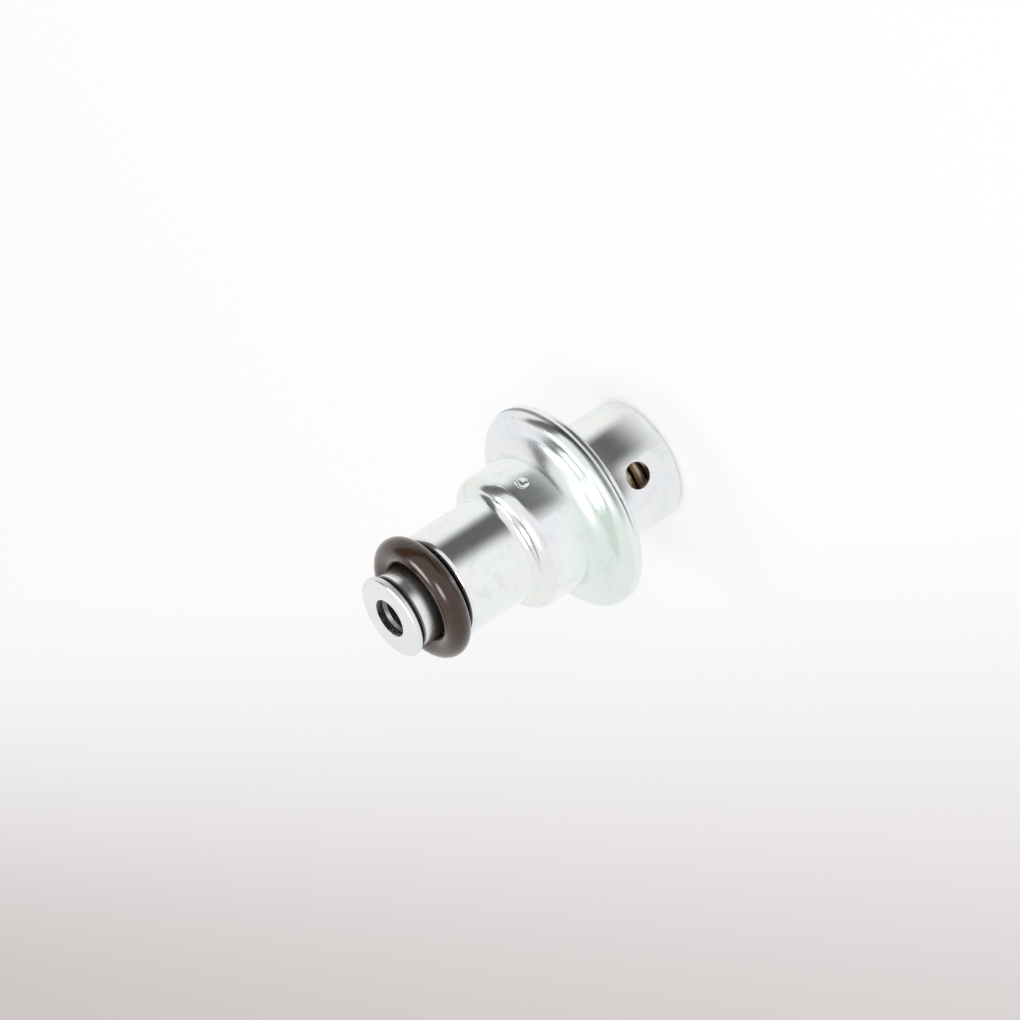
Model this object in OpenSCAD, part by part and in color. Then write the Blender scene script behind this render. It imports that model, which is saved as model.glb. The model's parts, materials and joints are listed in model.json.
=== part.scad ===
// In-tank fuel pressure regulator, flow-through pattern, standing on the closed end of its spring cover.
// The axis of the part is Z: the cover's end face lies at Z = 0 and the inlet nose points up.

/* [Spring cover] */
// Outer diameter of the drawn cup
cover_d = 17.5; // [17:0.1:18.5]
// Height of the folded flange's rear face above the cover's end face
cover_length = 12.7; // [11.5:0.1:15]
// Sheet thickness of the cover
cover_sheet = 0.8; // [0.6:0.05:0.9]
// Outer radius round the closed end of the cup
cover_edge_r = 1.5; // [1.2:0.1:2.2]
// Bend radius where the cup turns out into its flange
cover_bend_r = 1.4; // [0.8:0.1:1.6]
// Diameter of the outlet hole in the cup's side
outlet_d = 3.7; // [2.5:0.1:4.5]
// Height of the outlet hole above the end face
outlet_z = 6.6; // [5.5:0.1:7.5]

/* [Lower housing] */
// Sheet thickness of the housing
housing_sheet = 0.9; // [0.7:0.05:1]
// Outer diameter of the folded flange
flange_d = 30; // [29.5:0.1:33]
// Radius on the front edge of the flange
flange_front_r = 1.5; // [0.9:0.1:1.6]
// Radius on the rear edge of the flange
flange_rear_r = 1.3; // [0.6:0.1:1.4]
// Radial width of the lip that is folded back over the cover's flange
lip_w = 3.2; // [2.4:0.1:3.6]
// Outer diameter of the barrel in front of the flange
barrel_d = 20; // [19.6:0.1:21]
// Length of the barrel's straight wall and foot, from the flange's front face to the shoulder
barrel_length = 7.6; // [7:0.1:9]
// Height over which the shoulder runs in to the spigot
shoulder_rise = 3; // [2.6:0.1:3.4]
// Share of the shoulder that its round edge takes, the rest being the bend at the spigot's foot
shoulder_share = 0.62; // [0.55:0.01:0.7]
// Bend radius at the foot of the barrel
barrel_foot_r = 2.6; // [0.6:0.1:2.6]
// Outer diameter of the spigot in front of the shoulder
spigot_d = 15.2; // [15:0.1:15.6]
// Length of the spigot's straight wall and front edge, from the shoulder to its front face
spigot_length = 9.9; // [9.4:0.1:12.5]
// Radius on the front edge of the spigot
spigot_edge_r = 0.8; // [0.4:0.1:0.85]
// Width of the punch mark on the barrel
mark_d = 2; // [1:0.1:2.4]
// Depth of the punch mark
mark_depth = 0.35; // [0.2:0.05:0.45]
// Angle of the punch mark round the axis from the outlet hole
mark_angle = 46; // [30:1:90]
// Height of the punch mark above the flange's front face
mark_rise = 5.7; // [4:0.1:6]

/* [Inlet nozzle] */
// Diameter of the neck that carries the O-ring
neck_d = 10.7; // [10.2:0.1:11]
// Length of the nose from the spigot's front face to the tip
nose_length = 7.7; // [6.5:0.1:9]
// Diameter of the disc at the tip
tip_d = 11.6; // [11.4:0.1:12.4]
// Thickness of the disc at the tip
tip_t = 0.75; // [0.6:0.05:1.2]
// Radius on the front edge of that disc
tip_edge_r = 0.3; // [0.1:0.05:0.4]
// Width of the relief groove behind the disc
relief_w = 0.7; // [0.4:0.05:0.9]
// Depth of that groove in the neck
relief_depth = 0.8; // [0.4:0.05:1]
// Diameter of the inlet's mouth
mouth_d = 5.5; // [5.2:0.1:6]
// Depth of the mouth, down to a 45 degree step
mouth_depth = 1; // [0.6:0.1:1.6]
// Diameter of the inlet bore behind the mouth
inlet_d = 4.7; // [4:0.1:5]
// Diameter of the shank riveted into the spigot's end wall
shank_d = 8.4; // [8:0.1:8.6]
// Section diameter of the O-ring
oring_section = 3.53; // [3:0.01:3.6]
// Distance of the O-ring from the spigot's front face
oring_lift = 0.45; // [0.02:0.01:0.8]

/* [Diaphragm and valve] */
// Thickness of the diaphragm
diaphragm_t = 0.5; // [0.4:0.05:0.6]
// Depth by which the diaphragm's centre stands in front of its clamped rim
dish = 1.7; // [1.4:0.1:1.8]
// Diameter of the spring plate
plate_d = 13.8; // [13.6:0.1:14.2]
// Sheet thickness of the spring plate
plate_t = 0.8; // [0.6:0.1:1]
// Diameter of the boss that centres the main spring
boss_d = 9.2; // [8:0.1:9.6]
// Height of that boss
boss_h = 0.8; // [0.5:0.1:1]
// Diameter of the washer in front of the diaphragm
washer_d = 13.2; // [12:0.1:13.4]
// Thickness of that washer
washer_t = 0.6; // [0.5:0.1:0.8]
// Diameter of the valve seat's flange
seat_flange_d = 9.2; // [8.6:0.1:10]
// Thickness of the valve seat's flange
seat_flange_t = 1.5; // [1.4:0.1:1.8]
// Diameter of the valve seat's spigot
seat_spigot_d = 5.2; // [4.8:0.1:5.4]
// Diameter of the passage through the valve seat
passage_d = 2.6; // [2.4:0.1:2.8]
// Depth of the 45 degree cone that the ball closes
cone_depth = 0.75; // [0.7:0.05:0.9]
// Diameter of the valve ball
ball_d = 5.5; // [5.4:0.02:5.6]
// Diameter of the opening in the lip that keeps the ball in its holder
ball_lip_d = 5; // [4.9:0.02:5.1]
// Wall of the post that holds the ball
post_wall = 0.8; // [0.6:0.05:0.9]
// Thickness of the web that carries the post
web_t = 1.4; // [1:0.1:2]
// Length of the ring pressed into the spigot
ring_length = 4.5; // [3.5:0.1:5]
// Wall of that ring
ring_wall = 0.8; // [0.6:0.05:0.9]
// Number of flow holes in the web
flow_holes = 6; // [4:1:8]
// Diameter of each flow hole
flow_hole_d = 1.8; // [1.2:0.1:1.9]

/* [Springs] */
// Outer diameter of the main spring
spring_d = 13.6; // [13:0.1:13.8]
// Wire diameter of the main spring
spring_wire = 1.4; // [1.2:0.1:1.5]
// Number of turns of the main spring
spring_turns = 7.5; // [6:0.25:7.75]
// Angle round the axis at which its wire starts
spring_start = 224; // [0:1:300]
// Mean diameter of the ball spring
ball_spring_d = 3.4; // [3:0.1:3.8]
// Wire diameter of the ball spring
ball_spring_wire = 0.45; // [0.35:0.05:0.5]
// Number of turns of the ball spring
ball_spring_turns = 4.5; // [3.5:0.25:5]

/* [Fits] */
// Radial clearance round the clamped flange of the cover and the diaphragm's rim
clamp_gap = 0.05; // [0.02:0.01:0.1]
// Radial clearance of the ball in its holder
ball_gap = 0.05; // [0.02:0.01:0.08]
// Radial clearance of the riveted stack on the valve seat's spigot
stack_gap = 0.02; // [0.01:0.01:0.05]
// Clearance at the faces that close on the ball and under the O-ring
touch_gap = 0.02; // [0.01:0.005:0.03]
// Free height between the valve seat's face and the ball holder
holder_gap = 0.3; // [0.25:0.05:0.4]

/* [Hidden] */
$fn = 96;
// Overlap that lets touching outlines merge
skin = 0.05;
// Pitch of a closed end turn as a share of the wire
closed_pitch = 1.05;

cover_r = cover_d / 2;
flange_r = flange_d / 2;
barrel_r = barrel_d / 2;
spigot_r = spigot_d / 2;
neck_r = neck_d / 2;
shank_r = shank_d / 2;
ball_r = ball_d / 2;
ball_lip_r = ball_lip_d / 2;
passage_r = passage_d / 2;
barrel_bore_r = barrel_r - housing_sheet;
spigot_bore_r = spigot_r - housing_sheet;
clamp_r = flange_r - housing_sheet;
stack_hole_r = seat_spigot_d / 2 + stack_gap;

// Heights of the clamped flange, from the rear of the folded lip to the flange's front face
z_cover_flange = cover_length + housing_sheet;
z_rim = z_cover_flange + cover_sheet;
z_seal = z_rim + diaphragm_t;
z_face = z_seal + housing_sheet;

// Heights of the housing's steps and of the nose
z_shoulder = z_face + barrel_length;
z_spigot = z_shoulder + shoulder_rise;
z_front = z_spigot + spigot_length;
z_tip = z_front + nose_length;
rivet_t = 0.5;
rivet_w = 0.7;

// The shoulder's two arcs meet on the line between their centres
shoulder_angle = 2 * atan((barrel_r - spigot_r) / shoulder_rise);
shoulder_radii = shoulder_rise / sin(shoulder_angle);
shoulder_r = shoulder_share * shoulder_radii;
spigot_foot_r = shoulder_radii - shoulder_r;

// Heights of the riveted stack at the diaphragm's centre
z_centre = z_rim + dish;
z_plate = z_centre - plate_t;
z_washer = z_centre + diaphragm_t;
z_seat = z_washer + washer_t;
z_seat_face = z_seat + seat_flange_t;
z_cone = z_seat_face - cone_depth;

// The ball touches a 45 degree cone whose narrow end has the passage's radius
z_ball = z_cone - passage_r + (ball_r + touch_gap) * sqrt(2);
z_ball_lip = z_ball - sqrt(pow(ball_r + touch_gap, 2) - pow(ball_lip_r, 2));
z_post = z_seat_face + holder_gap;
z_web = z_spigot + 0.2;
post_bore_r = ball_r + ball_gap;
post_r = post_bore_r + post_wall;
ring_bore_r = spigot_bore_r - ring_wall;
vent_r = 0.8;

// The first turn of the ball spring rests on the ball
ball_wire_r = ball_spring_wire / 2;
ball_spring_r = ball_spring_d / 2;
z_ball_spring = z_ball + sqrt(pow(ball_r + ball_wire_r, 2) - pow(ball_spring_r, 2)) - ball_wire_r + touch_gap;

// Piece of a square corner outside an arc: added it fills a bend, taken away it rounds an edge.
// dr and dz are 1 or -1 and point from the corner to the centre of the arc.
module corner(at, radius, dr, dz) {
    difference() {
        translate([dr > 0 ? at[0] - skin : at[0] - radius, dz > 0 ? at[1] - skin : at[1] - radius])
            square(radius + skin);
        translate([at[0] + dr * radius, at[1] + dz * radius])
            circle(r = radius);
    }
}

// Rectangle of a half section, between two radii and two heights
module band(r0, r1, z0, z1) {
    translate([r0, z0])
        square([r1 - r0, z1 - z0]);
}

// Half section of the shoulder for one face of the sheet, set in from the outer face
module shoulder(inset) {
    edge = [barrel_r - shoulder_r, z_shoulder];
    foot = [spigot_r + spigot_foot_r, z_spigot];
    difference() {
        union() {
            polygon([[0, z_shoulder], edge, foot, [0, z_spigot]]);
            translate(edge)
                circle(r = shoulder_r - inset);
        }
        translate(foot)
            circle(r = spigot_foot_r + inset);
    }
}

// Height of a coil spring's wire centre after a number of turns, with one closed turn at each end
function coil_z(turn, turns, wire, height) =
    let (
        end_pitch = wire * closed_pitch,
        pitch = (height - wire - 2 * end_pitch) / (turns - 2)
    )
    wire / 2 + end_pitch * min(turn, 1) + pitch * max(0, min(turn, turns - 1) - 1)
        + end_pitch * max(0, turn - turns + 1);

// Ring of points round the wire of a coil spring
function coil_ring(turn, mean_r, wire, turns, height, sides) =
    let (
        angle = 360 * turn,
        out = [cos(angle), sin(angle), 0],
        centre = mean_r * out + [0, 0, coil_z(turn, turns, wire, height)]
    )
    [for (i = [0 : sides - 1]) centre + wire / 2 * (cos(360 * i / sides) * out + [0, 0, sin(360 * i / sides)])];

module coil_spring(mean_r, wire, turns, height, steps, sides) {
    rings = round(turns * steps);
    points = [
        for (i = [0 : rings])
            each coil_ring(turns * i / rings, mean_r, wire, turns, height, sides)
    ];
    walls = [
        for (i = [0 : rings - 1], j = [0 : sides - 1])
            let (k = (j + 1) % sides)
            [i * sides + j, i * sides + k, (i + 1) * sides + k, (i + 1) * sides + j]
    ];
    start = [[for (j = [sides - 1 : -1 : 0]) j]];
    end = [[for (j = [0 : sides - 1]) rings * sides + j]];
    polyhedron(points, concat(walls, start, end));
}

module lower_housing() {
    bend_r = barrel_foot_r + housing_sheet;
    mark_r = (pow(mark_d / 2, 2) + pow(mark_depth, 2)) / (2 * mark_depth);
    color("gainsboro")
    difference() {
        rotate_extrude()
        difference() {
            union() {
                band(0, flange_r, cover_length, z_face);
                band(0, barrel_r, cover_length, z_shoulder);
                shoulder(0);
                band(0, spigot_r, z_shoulder, z_front);
                corner([barrel_r, z_face], barrel_foot_r, 1, 1);
            }
            corner([flange_r, z_face], flange_front_r, -1, -1);
            corner([flange_r, cover_length], flange_rear_r, -1, 1);
            corner([spigot_r, z_front], spigot_edge_r, -1, -1);
            band(0, flange_r - lip_w, cover_length - skin, z_cover_flange + skin);
            band(0, clamp_r, z_cover_flange, z_seal);
            corner([barrel_bore_r, z_seal], bend_r, 1, 1);
            band(0, barrel_bore_r, z_seal - skin, z_shoulder);
            shoulder(housing_sheet);
            band(0, spigot_bore_r, z_shoulder - skin, z_front - housing_sheet);
            band(0, shank_r, z_front - housing_sheet - skin, z_front + skin);
        }
        rotate([0, 0, mark_angle])
            translate([0, -barrel_r - mark_r + mark_depth, z_face + mark_rise])
                sphere(r = mark_r);
    }
}

module inlet_nozzle() {
    z_wall = z_front - housing_sheet;
    z_disc = z_tip - tip_t;
    z_mouth = z_tip - mouth_depth;
    mouth_r = mouth_d / 2;
    inlet_r = inlet_d / 2;
    color("whitesmoke")
    rotate_extrude()
    difference() {
        union() {
            band(0, shank_r + rivet_w, z_wall - rivet_t, z_wall);
            band(0, shank_r, z_wall - rivet_t, z_front + skin);
            band(0, neck_r, z_front, z_tip);
            band(0, tip_d / 2, z_disc, z_tip);
        }
        corner([tip_d / 2, z_tip], tip_edge_r, -1, -1);
        band(neck_r - relief_depth, neck_r + skin, z_disc - relief_w, z_disc);
        band(0, inlet_r, z_wall - rivet_t - skin, z_tip);
        band(0, mouth_r, z_mouth, z_tip + skin);
        polygon([[0, z_mouth - mouth_r], [mouth_r, z_mouth], [0, z_mouth]]);
    }
}

module nose_o_ring() {
    section_r = oring_section / 2;
    color("#2b2523")
    translate([0, 0, z_front + oring_lift + section_r])
        rotate_extrude()
            translate([neck_r + section_r + touch_gap, 0])
                circle(r = section_r);
}

module spring_cover() {
    bore_r = cover_r - cover_sheet;
    mouth_r = cover_bend_r + cover_sheet;
    color("gainsboro")
    difference() {
        rotate_extrude()
        difference() {
            union() {
                band(0, cover_r, 0, z_rim);
                band(0, clamp_r - clamp_gap, z_cover_flange, z_rim);
                corner([cover_r, z_cover_flange], cover_bend_r, 1, -1);
            }
            corner([cover_r, 0], cover_edge_r, -1, 1);
            difference() {
                band(0, bore_r, cover_sheet, z_rim + skin);
                corner([bore_r, cover_sheet], cover_edge_r - cover_sheet, -1, 1);
            }
            corner([bore_r, z_rim], mouth_r, 1, -1);
        }
        translate([0, 0, outlet_z])
            rotate([90, 0, 0])
                cylinder(d = outlet_d, h = cover_d);
    }
}

// Half section: flat rim, slanting band, flat centre
module diaphragm() {
    rim_r = barrel_bore_r + 1.3;
    centre_r = plate_d / 2 + 0.1;
    color("#3a302c")
    rotate_extrude()
        polygon([
            [clamp_r - clamp_gap, z_rim],
            [clamp_r - clamp_gap, z_seal],
            [rim_r, z_seal],
            [centre_r, z_washer],
            [stack_hole_r, z_washer],
            [stack_hole_r, z_centre],
            [centre_r, z_centre],
            [rim_r, z_rim]
        ]);
}

module diaphragm_washer() {
    color("silver")
    rotate_extrude()
        band(stack_hole_r, washer_d / 2, z_washer, z_seat);
}

module spring_plate() {
    color("silver")
    rotate_extrude()
    union() {
        band(stack_hole_r, plate_d / 2, z_plate, z_centre);
        band(stack_hole_r, boss_d / 2, z_plate - boss_h, z_centre);
    }
}

module valve_seat() {
    z_rivet = z_plate - boss_h;
    color("goldenrod")
    rotate_extrude()
    difference() {
        union() {
            band(0, seat_spigot_d / 2, z_rivet - rivet_t, z_seat_face);
            band(0, seat_spigot_d / 2 + rivet_w, z_rivet - rivet_t, z_rivet);
            band(0, seat_flange_d / 2, z_seat, z_seat_face);
        }
        band(0, passage_r, z_rivet - rivet_t - skin, z_seat_face + skin);
        polygon([
            [0, z_cone - passage_r],
            [passage_r + cone_depth + skin, z_seat_face + skin],
            [0, z_seat_face + skin]
        ]);
    }
}

module main_spring() {
    color("dimgray")
    translate([0, 0, cover_sheet])
        rotate([0, 0, spring_start])
            coil_spring((spring_d - spring_wire) / 2, spring_wire, spring_turns, z_plate - cover_sheet, 24, 10);
}

module valve_ball() {
    color("lightsteelblue")
    translate([0, 0, z_ball])
        sphere(d = ball_d);
}

module ball_spring() {
    color("dimgray")
    translate([0, 0, z_ball_spring])
        coil_spring(ball_spring_r, ball_spring_wire, ball_spring_turns, z_web - z_ball_spring, 16, 8);
}

module ball_holder() {
    flow_r = (post_r + ring_bore_r) / 2;
    color("silver")
    difference() {
        rotate_extrude()
        difference() {
            union() {
                band(0, post_r, z_post, z_web + web_t);
                band(0, spigot_bore_r, z_web, z_web + web_t);
                band(ring_bore_r, spigot_bore_r, z_web, z_web + ring_length);
            }
            band(0, ball_lip_r, z_post - skin, z_ball_lip + skin);
            band(0, post_bore_r, z_ball_lip, z_web);
            band(0, vent_r, z_web - skin, z_web + web_t + skin);
        }
        for (i = [0 : flow_holes - 1])
            rotate([0, 0, 360 * i / flow_holes])
                translate([flow_r, 0, z_web - skin])
                    cylinder(d = flow_hole_d, h = web_t + 2 * skin);
    }
}

lower_housing();
inlet_nozzle();
nose_o_ring();
spring_cover();
diaphragm();
diaphragm_washer();
spring_plate();
valve_seat();
main_spring();
valve_ball();
ball_spring();
ball_holder();
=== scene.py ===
"""Fuel pressure regulator: finishes of its plated body, rubber seal and inner works, on a pale floor."""
import json
import math
from functools import cached_property

import bpy
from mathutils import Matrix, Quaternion, Vector

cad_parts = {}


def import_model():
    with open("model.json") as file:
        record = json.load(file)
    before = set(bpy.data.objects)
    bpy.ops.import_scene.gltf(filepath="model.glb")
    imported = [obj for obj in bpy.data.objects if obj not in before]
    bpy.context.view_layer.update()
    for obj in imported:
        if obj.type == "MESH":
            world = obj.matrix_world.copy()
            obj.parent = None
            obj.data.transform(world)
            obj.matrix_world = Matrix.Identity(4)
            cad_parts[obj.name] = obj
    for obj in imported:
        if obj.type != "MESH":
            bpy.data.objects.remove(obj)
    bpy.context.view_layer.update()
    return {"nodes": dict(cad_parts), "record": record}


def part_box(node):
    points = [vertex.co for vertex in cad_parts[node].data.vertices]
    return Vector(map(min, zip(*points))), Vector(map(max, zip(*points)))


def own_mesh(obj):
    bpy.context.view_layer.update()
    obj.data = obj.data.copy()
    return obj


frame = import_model()

MM = 0.001

# The photograph's point of view: the part stands on its cover and the camera is rolled
CAMERA_AZIMUTH = math.radians(-77.36)
CAMERA_ELEVATION = math.radians(25.9)
CAMERA_ROLL = math.radians(-122.7)
CAMERA_DISTANCE = 490 * MM
CAMERA_AIM = Vector((3.4, 0.3, 21.2)) * MM
CAMERA_LENS = 130.9
CAMERA_SENSOR = 36.0


def span(node, axis):
    """Lowest and highest coordinate of a node along one axis, in millimetres."""
    low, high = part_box(node)
    return low[axis] / MM, high[axis] / MM


# Radii of the part, in millimetres; WALL_RADIUS is the mean of the walls that mirror the floor
MOUNTS = {mount["name"]: mount for mount in frame["record"]["mounts"]}
FLANGE_RADIUS = span("lower_housing", 0)[1]
BARREL_RADIUS = MOUNTS["barrel"]["dims"]["r_mm"]
COVER_RADIUS = 0.875 * BARREL_RADIUS
WALL_RADIUS = 0.87 * BARREL_RADIUS
DISC_RADIUS = span("inlet_nozzle", 0)[1]
SEAL_RADIUS = span("nose_o_ring", 0)[1]

# Heights on the part, in millimetres
HOUSING_FOOT = span("lower_housing", 2)[0]
FLANGE_FACE = MOUNTS["flange_face"]["pos_m"][2] / MM
FOLD_LINE = FLANGE_FACE - 1.2
STAIN_HEIGHT = FLANGE_FACE + 1
BARREL_BEND = FLANGE_FACE + 1.4
SEAL_FOOT, SEAL_TOP = span("nose_o_ring", 2)
SEAL_MIDDLE = (SEAL_FOOT + SEAL_TOP) / 2
NOZZLE_TOP = span("inlet_nozzle", 2)[1]
RELIEF_GROOVE = NOZZLE_TOP - 1.2

# Angles round the axis at which the mint stain, and the crease of the fold with its painted dark
# reflection, are strongest
STAINED_SIDE = math.radians(-120)
CREASE_AND_REFLECTION_SIDE = math.radians(-17)

# Waves of the reliefs, in radians to a millimetre
LATHE_RINGS = 34
SEAT_RINGS = 30
CLOTH_WEAVE = 9

# Sideways lean of a turned surface's normal, as a sine, that stays and that is wholly taken out
LEAN_KEPT, LEAN_REMOVED = 0.14, 0.08

# Colours of the finishes, as linear red, green and blue; tints are stops of a ramp
ZINC_TINTS = (
    (0.30, (0.80, 0.86, 0.90)),
    (0.45, (0.88, 0.88, 0.90)),
    (0.57, (0.86, 0.91, 0.88)),
    (0.70, (0.90, 0.88, 0.85)),
)
DULL_ZINC = (0.58, 0.58, 0.59)
ZINC_SPECK = (0.42, 0.41, 0.40)
MINT_STAIN = (0.77, 0.86, 0.815)
# Painted dark reflection along the fold of the flange's rim
CREASE_PAINTED_REFLECTION = (0.16, 0.16, 0.165)
TURNED_STEEL_TINTS = ((0.3, (0.80, 0.83, 0.86)), (0.7, (0.89, 0.87, 0.85)))
# Painted shade on the nozzle, in the groove behind its disc and by the seal
NOZZLE_PAINTED_SHADE = (0.10, 0.09, 0.085)
SEAL_DARK = (0.016, 0.0045, 0.0005)
SEAL_BROWN = (0.050, 0.019, 0.005)
SEAL_DUST = (0.14, 0.12, 0.11)
DIAPHRAGM_DARK = (0.022, 0.021, 0.020)
DIAPHRAGM_GREY = (0.050, 0.047, 0.044)
WIRE_BROWN = (0.42, 0.28, 0.18)
WIRE_STRAW = (0.66, 0.50, 0.36)
WIRE_RUBBED = (0.80, 0.72, 0.64)
ROLLED_STEEL = (0.58, 0.57, 0.55)
BRUSHED_STEEL = (0.72, 0.71, 0.69)
OIL_STAIN = (0.40, 0.35, 0.29)
CLEAN_BRASS = (0.78, 0.58, 0.29)
TARNISHED_BRASS = (0.52, 0.36, 0.17)
POLISHED_BALL = (0.74, 0.74, 0.73)
MARKED_BALL = (0.62, 0.61, 0.60)

# Colours of the stage
PAPER = (0.97, 0.97, 0.97)
PAPER_FIBRE = (0.985, 0.985, 0.985)
FLOOR_WHITE = (1, 1, 1)
FLOOR_PAINTED_SHADE = (0.63, 0.575, 0.565)
FLOOR_CARD_GREY = (0.10, 0.10, 0.105)
NEAR_CARD_GREY = (0.13, 0.13, 0.135)
RIBBON_GREY = (0.17, 0.17, 0.175)
SKY_WHITE = (0.985, 0.98, 0.98)

# Share of the floor that glows rather than takes light, as the camera and as mirrors see it, and the
# radii between which the glow sets in round the part's foot, in millimetres
FLOOR_GLOW_SEEN = 0.84
FLOOR_GLOW_MIRRORED = 0.8
GLOW_START = (COVER_RADIUS - 2.5, COVER_RADIUS + 0.8)
# Strength of the sky in mirrors, and as light on matt surfaces
SKY_MIRRORED = 0.94
SKY_ON_MATT = 0.30

# Painted shade: the floor's glow greys along this azimuth, in degrees, between these distances, in
# millimetres
SHADED_AZIMUTH = -101
SHADED_FROM, SHADED_TO = 5, 110

# Soft edges of the cards on the floor, from clear to dark: distances from the axis, in millimetres
COVER_BAND_INNER = (9, 22)
COVER_BAND_OUTER = (34, 30)
BODY_BAND_INNER = (44, 48)
BARREL_BAND_OUTER = (64, 58)
NEAR_CARD_INNER = (24.4, 26.2)
NEAR_CARD_OUTER = (35, 33)
# The same edges round the axis, in degrees; the barrel's band starts sooner by its lead
BAND_START = (0, 36)
BAND_END = (90, 62)
BARREL_BAND_LEAD = math.radians(12)
NEAR_CARD_START = (-60, -20)
NEAR_CARD_END = (52, 40)

# Azimuth, elevation and half width of the ribbon along its length, in degrees, and its distance
RIBBON_PATH = [
    (53, -6, 8),
    (60, 2, 9),
    (70, 12, 10),
    (79, 24, 12),
    (89, 35, 12),
    (106, 43, 12),
    (126, 49, 11),
    (140, 50, 9),
    (151, 50, 6),
]
RIBBON_DISTANCE = 300 * MM


class Wire:
    """An output socket in a node tree; arithmetic on it adds Math nodes."""

    def __init__(self, nodes, socket):
        self.nodes = nodes
        self.socket = socket

    def math(self, operation, *values):
        return self.nodes.node("ShaderNodeMath", {"operation": operation}, dict(enumerate(values)))

    def __add__(self, other):
        return self.math("ADD", self, other)

    def __radd__(self, other):
        return self.math("ADD", other, self)

    def __sub__(self, other):
        return self.math("SUBTRACT", self, other)

    def __rsub__(self, other):
        return self.math("SUBTRACT", other, self)

    def __mul__(self, other):
        return self.math("MULTIPLY", self, other)

    def __rmul__(self, other):
        return self.math("MULTIPLY", other, self)

    def __truediv__(self, other):
        return self.math("DIVIDE", self, other)

    def __rtruediv__(self, other):
        return self.math("DIVIDE", other, self)

    def __abs__(self):
        return self.math("ABSOLUTE", self)

    def root(self):
        return self.math("SQRT", self)

    def sine(self):
        return self.math("SINE", self)

    def cosine(self):
        return self.math("COSINE", self)

    def rise(self, low, high):
        """0 up to low, 1 from high on and smooth between; falls where low is above high."""
        ends = {"Value": self, "From Min": low, "From Max": high}
        return self.nodes.node("ShaderNodeMapRange", {"interpolation_type": "SMOOTHSTEP"}, ends)

    def rise_degrees(self, low, high):
        """The same between two angles in degrees, where the value is an angle."""
        return self.rise(math.radians(low), math.radians(high))

    def band(self, centre, core, edge):
        """1 within core of the centre, 0 beyond edge."""
        return abs(self - centre).rise(edge, core)


class Nodes:
    """A node tree, to which nodes and links are added."""

    def __init__(self, tree):
        self.tree = tree

    def node(self, kind, settings=None, inputs=None, output=0):
        """Output of a new node, whose settings are made first and whose inputs get values or wires."""
        made = self.tree.nodes.new(kind)
        for key, value in (settings or {}).items():
            if key == "stops":
                self.stops(made.color_ramp.elements, value)
            else:
                setattr(made, key, value)
        for key, value in (inputs or {}).items():
            self.feed(made.inputs[key], value)
        return Wire(self, made.outputs[output])

    def stops(self, elements, colours):
        for place, colour in colours[2:]:
            elements.new(place)
        for element, (place, colour) in zip(elements, sorted(colours)):
            element.position = place
            element.color = (*colour, 1)

    def feed(self, socket, value):
        if isinstance(value, Wire):
            self.tree.links.new(value.socket, socket)
        else:
            socket.default_value = value


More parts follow.
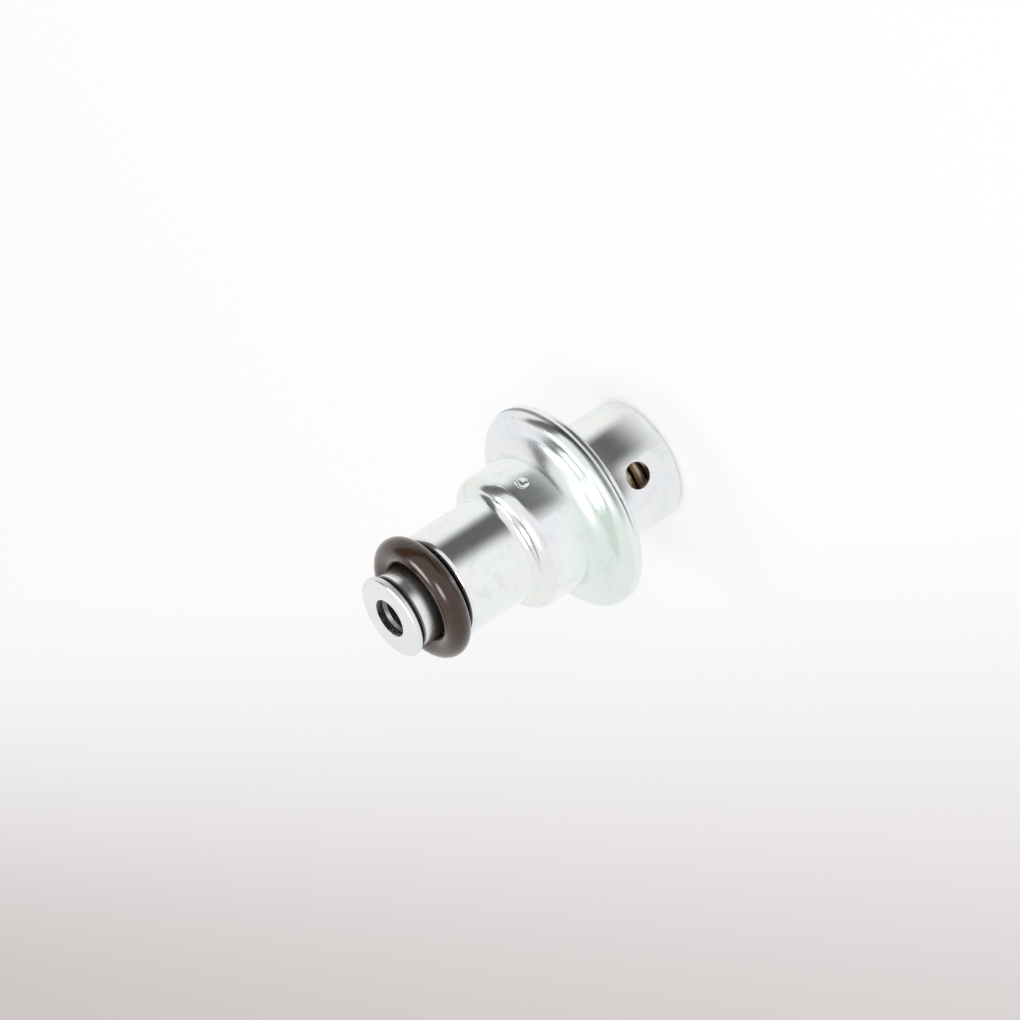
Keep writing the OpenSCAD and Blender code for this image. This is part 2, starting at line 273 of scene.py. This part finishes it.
class Finish(Nodes):
    """A material made of nodes, with one Principled shader."""

    def __init__(self, name):
        self.material = bpy.data.materials.new(name)
        self.material.use_nodes = True
        super().__init__(self.material.node_tree)
        self.shader = self.tree.nodes["Principled BSDF"]
        self.surface = self.tree.nodes["Material Output"].inputs["Surface"]

    def set(self, **values):
        """Feed the shader's inputs, named in lower case."""
        for key, value in values.items():
            self.feed(self.shader.inputs[key.replace("_", " ").title().replace("Ior", "IOR")], value)

    def give(self, *nodes):
        """Put the finish on these pieces of the part."""
        for name in nodes:
            for slot in frame["nodes"][name].material_slots:
                slot.material = self.material

    def vector(self, operation, inputs, output=0):
        return self.node("ShaderNodeVectorMath", {"operation": operation}, inputs, output)

    @cached_property
    def place(self):
        """Position on the part, in millimetres."""
        here = self.node("ShaderNodeTexCoord", output="Object")
        return self.vector("SCALE", {0: here, "Scale": 1 / MM})

    @cached_property
    def axes(self):
        first = self.node("ShaderNodeSeparateXYZ", None, {0: self.place})
        return [Wire(self, socket) for socket in first.socket.node.outputs]

    @cached_property
    def height(self):
        return self.axes[2]

    @cached_property
    def radius(self):
        """Distance from the part's axis, in millimetres."""
        x, y, z = self.axes
        return (x * x + y * y).root()

    @cached_property
    def turn(self):
        """Angle round the part, counted from its X axis."""
        x, y, z = self.axes
        return x.math("ARCTAN2", y, x)

    @cached_property
    def bearing(self):
        """Angle round the part, counted from the camera's side."""
        ahead, right = around(0, 0), around(90, 0)
        x, y, z = self.axes
        return x.math("ARCTAN2", x * right.x + y * right.y, x * ahead.x + y * ahead.y)

    @cached_property
    def turned_normal(self):
        """Normal of a turned or drawn surface, square to its circles.

        Where the mesh's own normal leans a little to one side, as along the line where the circles
        close, the lean is taken out. A larger lean belongs to a hole or a mark, and stays.
        """
        normal = self.node("ShaderNodeNewGeometry", output="Normal")
        sideways = self.vector("CROSS_PRODUCT", {0: (0, 0, 1), 1: self.place})
        along_circle = self.vector("NORMALIZE", {0: sideways})
        lean = self.vector("DOT_PRODUCT", {0: normal, 1: along_circle}, "Value")
        small = abs(lean).rise(LEAN_KEPT, LEAN_REMOVED)
        excess = self.vector("SCALE", {0: along_circle, "Scale": lean * small})
        upright = self.vector("SUBTRACT", {0: normal, 1: excess})
        return self.vector("NORMALIZE", {0: upright})

    def noise(self, scale, stretch=(1, 1, 1), detail=3, roughness=0.5):
        """Cloudy noise from 0 to 1, with so many blotches to a millimetre."""
        place = self.vector("MULTIPLY", {0: self.place, 1: stretch})
        sockets = {"Vector": place, "Scale": scale, "Detail": detail, "Roughness": roughness}
        return self.node("ShaderNodeTexNoise", None, sockets)

    def specks(self, scale):
        """Distance to the nearest speck, in cells."""
        return self.node("ShaderNodeTexVoronoi", None, {"Vector": self.place, "Scale": scale})

    def ramp(self, value, *colours):
        return self.node("ShaderNodeValToRGB", {"stops": colours}, {0: value})

    def blend(self, share, colour, other):
        """Colours mixed: the first where share is 0, the other where it is 1."""
        # The node has sockets for numbers, vectors and colours: 6, 7 and output 2 are for colours
        sockets = {0: share, 6: self.full(colour), 7: self.full(other)}
        return self.node("ShaderNodeMix", {"data_type": "RGBA"}, sockets, 2)

    def full(self, colour):
        return colour if isinstance(colour, Wire) else (*colour, 1)

    def bump(self, height, depth, turned=False):
        """Surface normal of a relief whose height of 1 is so deep, in millimetres."""
        sockets = {"Distance": depth * MM, "Height": height}
        if turned:
            sockets["Normal"] = self.turned_normal
        return self.node("ShaderNodeBump", None, sockets)


def zinc_plate(name, node, seam=None, stained=None, fold=None, matt=None):
    """Bright zinc over drawn sheet: faint blue, mint and straw tints, draw lines, specks of dirt.

    seam is a dull line and matt a bend that drawing has robbed of some shine, each a height with the
    half widths of its core and edge. stained is the height of a mint stain, and fold the height and
    outer radius of the crease round a folded rim, whose crease relief carries a painted dark reflection
    that is strongest on one side.
    """
    finish = Finish(name)
    cloud = finish.noise(0.11, detail=2)
    tint = finish.ramp(cloud, *ZINC_TINTS)
    drawn = finish.noise(2.6, stretch=(1, 1, 0.07), detail=4, roughness=0.6)
    grain = finish.noise(5.0, detail=2)
    handled = finish.noise(0.35, detail=5, roughness=0.65).rise(0.5, 0.72)
    dull = handled * 0.25
    if seam:
        dull = dull + finish.height.band(*seam) * (0.35 + 0.5 * grain)
    specks = finish.specks(0.55).rise(0.10, 0.04)
    if stained:
        side = (finish.turn - STAINED_SIDE).cosine().rise(-0.3, 0.9)
        stain = finish.height.band(stained, core=1.2, edge=5.0) * side * (0.3 + 0.8 * cloud)
        tint = finish.blend(stain, tint, MINT_STAIN)
    colour = finish.blend(dull, tint, DULL_ZINC)
    colour = finish.blend(specks * 0.3, colour, ZINC_SPECK)
    relief = drawn + 0.5 * grain
    if fold:
        height, rim = fold
        # Painted dark reflection along the fold, strongest on one side, over a real crease relief
        side = (finish.turn - CREASE_AND_REFLECTION_SIDE).cosine().rise(0.0, 0.5)
        at_rim = finish.radius.rise(rim - 0.7, rim - 0.4)
        crease_and_painted_reflection = finish.height.band(height, core=0.1, edge=0.42) * at_rim * side
        colour = finish.blend(crease_and_painted_reflection * (0.6 + 0.45 * grain), colour, CREASE_PAINTED_REFLECTION)
        relief = relief - crease_and_painted_reflection * 6
    roughness = 0.09 + 0.10 * drawn + 0.05 * grain + 0.25 * dull
    if matt:
        roughness = roughness + finish.height.band(*matt) * 0.12
    finish.set(
        base_color=colour,
        metallic=1.0,
        roughness=roughness,
        normal=finish.bump(relief, depth=0.001, turned=True),
    )
    finish.give(node)


def turned_steel():
    """Nozzle: plated steel with fine lathe rings, and painted shade in the groove behind its disc and by
    the seal.
    """
    finish = Finish("turned_nozzle_steel")
    cloud = finish.noise(0.2, detail=2)
    tint = finish.ramp(cloud, *TURNED_STEEL_TINTS)
    waver = finish.noise(1.1, detail=2)
    rings = ((finish.radius + finish.height) * LATHE_RINGS + waver * 6).sine()
    fade = finish.noise(0.7, stretch=(1, 1, 3), detail=3)
    # Painted shade, mottled, on the neck by the seal and in the groove behind the disc
    shade_by_seal = finish.height.rise(SEAL_TOP + 1.05, SEAL_TOP + 0.3)
    inside_disc = finish.radius.rise(DISC_RADIUS, DISC_RADIUS - 0.2)
    shade_in_groove = finish.height.band(RELIEF_GROOVE, core=0.42, edge=0.62) * inside_disc
    painted_shade = shade_by_seal * (0.7 + 0.4 * fade) + shade_in_groove * 0.85
    colour = finish.blend(painted_shade, tint, NOZZLE_PAINTED_SHADE)
    cut_rim = finish.radius.rise(DISC_RADIUS - 0.12, DISC_RADIUS - 0.02)
    finish.set(
        base_color=colour,
        metallic=1.0,
        roughness=0.15 + 0.1 * fade + 0.2 * painted_shade + 0.3 * cut_rim,
        normal=finish.bump(rings * fade, depth=0.003, turned=True),
    )
    finish.give("inlet_nozzle")


def seal_rubber():
    """O-ring: brown-black rubber with a mould line round its outside and a little dust."""
    finish = Finish("o_ring_rubber")
    mottle = finish.noise(0.5, detail=4, roughness=0.6)
    fine = finish.noise(7.0, detail=2)
    outside = finish.radius.rise(SEAL_RADIUS - 0.6, SEAL_RADIUS - 0.2)
    mould_line = finish.height.band(SEAL_MIDDLE, core=0.05, edge=0.12) * outside
    dust = finish.specks(0.8).rise(0.12, 0.04) * mottle.rise(0.45, 0.65)
    colour = finish.blend(mottle, SEAL_DARK, SEAL_BROWN)
    colour = finish.blend(dust * 0.3, colour, SEAL_DUST)
    finish.set(
        base_color=colour,
        roughness=0.28 + 0.1 * mottle + 0.1 * mould_line + 0.2 * dust,
        normal=finish.bump(fine * 0.3 + mould_line, depth=0.012, turned=True),
        specular_ior_level=0.1,
        coat_weight=1.0,
        coat_roughness=0.16,
        coat_ior=1.54,
    )
    finish.give("nose_o_ring")


def diaphragm_rubber():
    """Diaphragm: black rubber over a woven cloth whose threads show faintly."""
    finish = Finish("diaphragm_rubber")
    x, y, z = finish.axes
    weave = (x * CLOTH_WEAVE).sine() * (y * CLOTH_WEAVE).sine()
    mottle = finish.noise(0.6, detail=4)
    finish.set(
        base_color=finish.blend(mottle, DIAPHRAGM_DARK, DIAPHRAGM_GREY),
        roughness=0.55 + 0.15 * mottle,
        normal=finish.bump(weave + 0.5 * mottle, depth=0.03),
    )
    finish.give("diaphragm")


def spring_wire(name, node):
    """Oil-tempered spring wire: brown, lightly pitted steel with brighter rubbed coils."""
    finish = Finish(name)
    scale = finish.noise(1.2, detail=4, roughness=0.6)
    rubbed = finish.noise(0.4, detail=3).rise(0.45, 0.65)
    colour = finish.blend(scale, WIRE_BROWN, WIRE_STRAW)
    colour = finish.blend(rubbed * 0.6, colour, WIRE_RUBBED)
    finish.set(
        base_color=colour,
        metallic=0.7,
        roughness=0.26 + 0.2 * scale,
        normal=finish.bump(finish.noise(4.0, detail=2), depth=0.006),
    )
    finish.give(node)


def pressed_steel(name, *nodes):
    """Inner pressings: plain rolled steel with a brushed grain and light oil stains."""
    finish = Finish(name)
    brushed = finish.noise(3.0, stretch=(1, 0.06, 1), detail=4, roughness=0.6)
    stain = finish.noise(0.45, detail=4).rise(0.45, 0.7)
    colour = finish.blend(brushed, ROLLED_STEEL, BRUSHED_STEEL)
    colour = finish.blend(stain * 0.4, colour, OIL_STAIN)
    finish.set(
        base_color=colour,
        metallic=1.0,
        roughness=0.24 + 0.14 * brushed + 0.15 * stain,
        normal=finish.bump(brushed, depth=0.003),
    )
    finish.give(*nodes)


def seat_brass():
    """Valve seat: turned brass with ring marks and a warm tarnish."""
    finish = Finish("seat_brass")
    rings = ((finish.radius + finish.height) * SEAT_RINGS).sine()
    tarnish = finish.noise(0.6, detail=4, roughness=0.6).rise(0.4, 0.75)
    finish.set(
        base_color=finish.blend(tarnish, CLEAN_BRASS, TARNISHED_BRASS),
        metallic=1.0,
        roughness=0.2 + 0.2 * tarnish,
        normal=finish.bump(rings, depth=0.0015),
    )
    finish.give("valve_seat")


def ball_steel():
    """Valve ball: polished bearing steel with a few faint handling marks."""
    finish = Finish("ball_steel")
    marks = finish.noise(1.5, detail=5, roughness=0.7).rise(0.5, 0.7)
    finish.set(
        base_color=finish.blend(marks, POLISHED_BALL, MARKED_BALL),
        metallic=1.0,
        roughness=0.06 + 0.1 * marks,
    )
    finish.give("valve_ball")


def flexible_pieces():
    """Springs and diaphragm, which their joints deform, each get a mesh of their own."""
    for joint in frame["record"]["behaviour"]["joints"]:
        for soft in joint["deforming_nodes"]:
            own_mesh(frame["nodes"][soft["node"]])


def around(azimuth, elevation, distance=1.0):
    """Point seen from the part's foot at an azimuth counted from the camera's, in degrees."""
    turn = CAMERA_AZIMUTH + math.radians(azimuth)
    tilt = math.radians(elevation)
    flat = math.cos(tilt)
    return Vector((flat * math.cos(turn), flat * math.sin(turn), math.sin(tilt))) * distance


def floor():
    """Pale paper floor whose glow greys towards the picture's lower edge as painted shade."""
    bpy.ops.mesh.primitive_plane_add(size=4)
    plane = bpy.context.object
    plane.name = "floor"
    finish = Finish("floor_paper")
    x, y, z = finish.axes
    down = around(SHADED_AZIMUTH, 0)
    fall = (x * down.x + y * down.y).rise(SHADED_FROM, SHADED_TO)
    fibre = finish.noise(0.8, detail=3)
    finish.set(base_color=finish.blend(fibre, PAPER, PAPER_FIBRE), roughness=0.85 + 0.1 * fibre)
    camera_ray, glossy_ray, clear_ray = (
        finish.node("ShaderNodeLightPath", output=ray)
        for ray in ("Is Camera Ray", "Is Glossy Ray", "Is Transmission Ray")
    )
    # Painted shade: the glow that the camera sees greys towards the picture's lower edge
    graded = finish.blend(fall * camera_ray, FLOOR_WHITE, FLOOR_PAINTED_SHADE)
    glow = finish.node("ShaderNodeEmission", None, {"Color": graded})
    clear_of_part = finish.radius.rise(*GLOW_START)
    in_mirrors = (glossy_ray + clear_ray) * FLOOR_GLOW_MIRRORED
    seen = (camera_ray * FLOOR_GLOW_SEEN + in_mirrors) * clear_of_part
    lit = Wire(finish, finish.shader.outputs[0])
    finish.feed(finish.surface, finish.node("ShaderNodeMixShader", None, {0: seen, 1: lit, 2: glow}))
    plane.data.materials.append(finish.material)


def card(name, points, faces, shade, alpha=None):
    """Dark studio card that only reflections show."""
    mesh = bpy.data.meshes.new(name)
    mesh.from_pydata(points, [], faces)
    piece = bpy.data.objects.new(name, mesh)
    bpy.context.collection.objects.link(piece)
    finish = Finish(name)
    finish.set(base_color=(*shade, 1), roughness=0.9)
    if alpha:
        finish.set(alpha=alpha(finish))
    mesh.materials.append(finish.material)
    piece.visible_camera = False
    piece.visible_diffuse = False
    piece.visible_shadow = False


def strip(first, last):
    """Quads between two rows of points."""
    points = [*first, *last]
    count = len(first)
    faces = [(i, i + 1, count + i + 1, count + i) for i in range(count - 1)]
    return points, faces


def floor_sector(azimuths, inner, outer, lift):
    """Flat sector a little above the floor, between two radii, in millimetres."""
    raised = Vector((0, 0, lift * MM))
    return strip(
        [around(azimuth, 0, inner * MM) + raised for azimuth in azimuths],
        [around(azimuth, 0, outer * MM) + raised for azimuth in azimuths],
    )


def floor_card():
    """Dark sector of the floor to the camera's right, which the part's walls mirror as a soft band."""
    points, faces = floor_sector(range(0, 101, 4), inner=10, outer=220, lift=0.1)

    def soft(finish):
        mirrored = finish.bearing + (finish.bearing * 0.5).sine() * WALL_RADIUS / finish.radius
        lead = finish.radius.rise(*BARREL_BAND_OUTER) * BARREL_BAND_LEAD
        start = (mirrored + lead).rise_degrees(*BAND_START)
        end = mirrored.rise_degrees(*BAND_END)
        for_cover = finish.radius.rise(*COVER_BAND_INNER) * finish.radius.rise(*COVER_BAND_OUTER)
        for_body = finish.radius.rise(*BODY_BAND_INNER)
        return start * end * (for_cover + for_body)

    card("floor_card", points, faces, FLOOR_CARD_GREY, soft)


def near_card():
    """Dark arc of the floor close to the cover, which its wall mirrors under the flange."""
    points, faces = floor_sector(range(-60, 53, 4), inner=24.3, outer=35, lift=0.2)

    def soft(finish):
        start = finish.bearing.rise_degrees(*NEAR_CARD_START)
        end = finish.bearing.rise_degrees(*NEAR_CARD_END)
        ring = finish.radius.rise(*NEAR_CARD_INNER) * finish.radius.rise(*NEAR_CARD_OUTER)
        return start * end * ring

    card("near_card", points, faces, NEAR_CARD_GREY, soft)


def side_ribbon():
    """Dark band of cloth that climbs to the camera's right, mirrored by the shoulder and the bends."""
    lower, upper = [], []
    for i, (azimuth, elevation, width) in enumerate(RIBBON_PATH):
        before = RIBBON_PATH[max(i - 1, 0)]
        after = RIBBON_PATH[min(i + 1, len(RIBBON_PATH) - 1)]
        narrowing = math.cos(math.radians(elevation))
        onward = (after[0] - before[0]) * narrowing
        upward = after[1] - before[1]
        length = math.hypot(onward, upward)
        turned = -width * upward / length / narrowing
        raised = width * onward / length
        lower.append(around(azimuth - turned, elevation - raised, RIBBON_DISTANCE))
        upper.append(around(azimuth + turned, elevation + raised, RIBBON_DISTANCE))
    points, faces = strip(lower, upper)
    card("side_ribbon", points, faces, RIBBON_GREY)


def lamp(name, size, watts, azimuth, elevation, distance, mirrored=True):
    """Round studio lamp that faces the part's foot."""
    data = bpy.data.lights.new(name, "AREA")
    data.shape = "DISK"
    data.size = size
    data.energy = watts
    light = bpy.data.objects.new(name, data)
    bpy.context.collection.objects.link(light)
    away = around(azimuth, elevation, distance)
    light.location = away
    light.rotation_euler = away.to_track_quat("Z", "Y").to_euler()
    light.visible_glossy = mirrored


def world():
    """Even studio white: the metal mirrors it in full, matt surfaces are lit by a part of it."""
    sky = bpy.data.worlds.new("studio")
    bpy.context.scene.world = sky
    sky.use_nodes = True
    studio = Nodes(sky.node_tree)
    back = sky.node_tree.nodes["Background"].inputs
    diffuse_ray = studio.node("ShaderNodeLightPath", output="Is Diffuse Ray")
    studio.feed(back["Color"], (*SKY_WHITE, 1))
    studio.feed(back["Strength"], SKY_MIRRORED - (SKY_MIRRORED - SKY_ON_MATT) * diffuse_ray)


def camera():
    """The photograph's camera, aimed at the middle of the part and rolled."""
    data = bpy.data.cameras.new("camera")
    data.lens = CAMERA_LENS
    data.sensor_width = CAMERA_SENSOR
    eye = bpy.data.objects.new("camera", data)
    bpy.context.collection.objects.link(eye)
    away = around(0, math.degrees(CAMERA_ELEVATION))
    eye.location = CAMERA_AIM + away * CAMERA_DISTANCE
    eye.rotation_mode = "QUATERNION"
    eye.rotation_quaternion = away.to_track_quat("Z", "Y") @ Quaternion((0, 0, 1), CAMERA_ROLL)
    bpy.context.scene.camera = eye


zinc_plate(
    "zinc_plate_housing",
    "lower_housing",
    seam=(HOUSING_FOOT, 0.2, 0.6),
    stained=STAIN_HEIGHT,
    fold=(FOLD_LINE, FLANGE_RADIUS),
    matt=(BARREL_BEND, 0.8, 2.0),
)
zinc_plate("zinc_plate_cover", "spring_cover")
turned_steel()
seal_rubber()
diaphragm_rubber()
spring_wire("main_spring_wire", "main_spring")
spring_wire("ball_spring_wire", "ball_spring")
pressed_steel("pressed_steel", "diaphragm_washer", "spring_plate", "ball_holder")
seat_brass()
ball_steel()
flexible_pieces()

floor()
floor_card()
near_card()
side_ribbon()
lamp("key_lamp", size=0.2, watts=1.1, azimuth=8, elevation=28, distance=0.7, mirrored=False)
lamp("back_lamp", size=0.24, watts=1.1, azimuth=128, elevation=70, distance=0.6)
lamp("front_lamp", size=0.24, watts=1.1, azimuth=-12, elevation=57, distance=0.6)
world()
camera()
bpy.context.scene.view_settings.view_transform = "Standard"
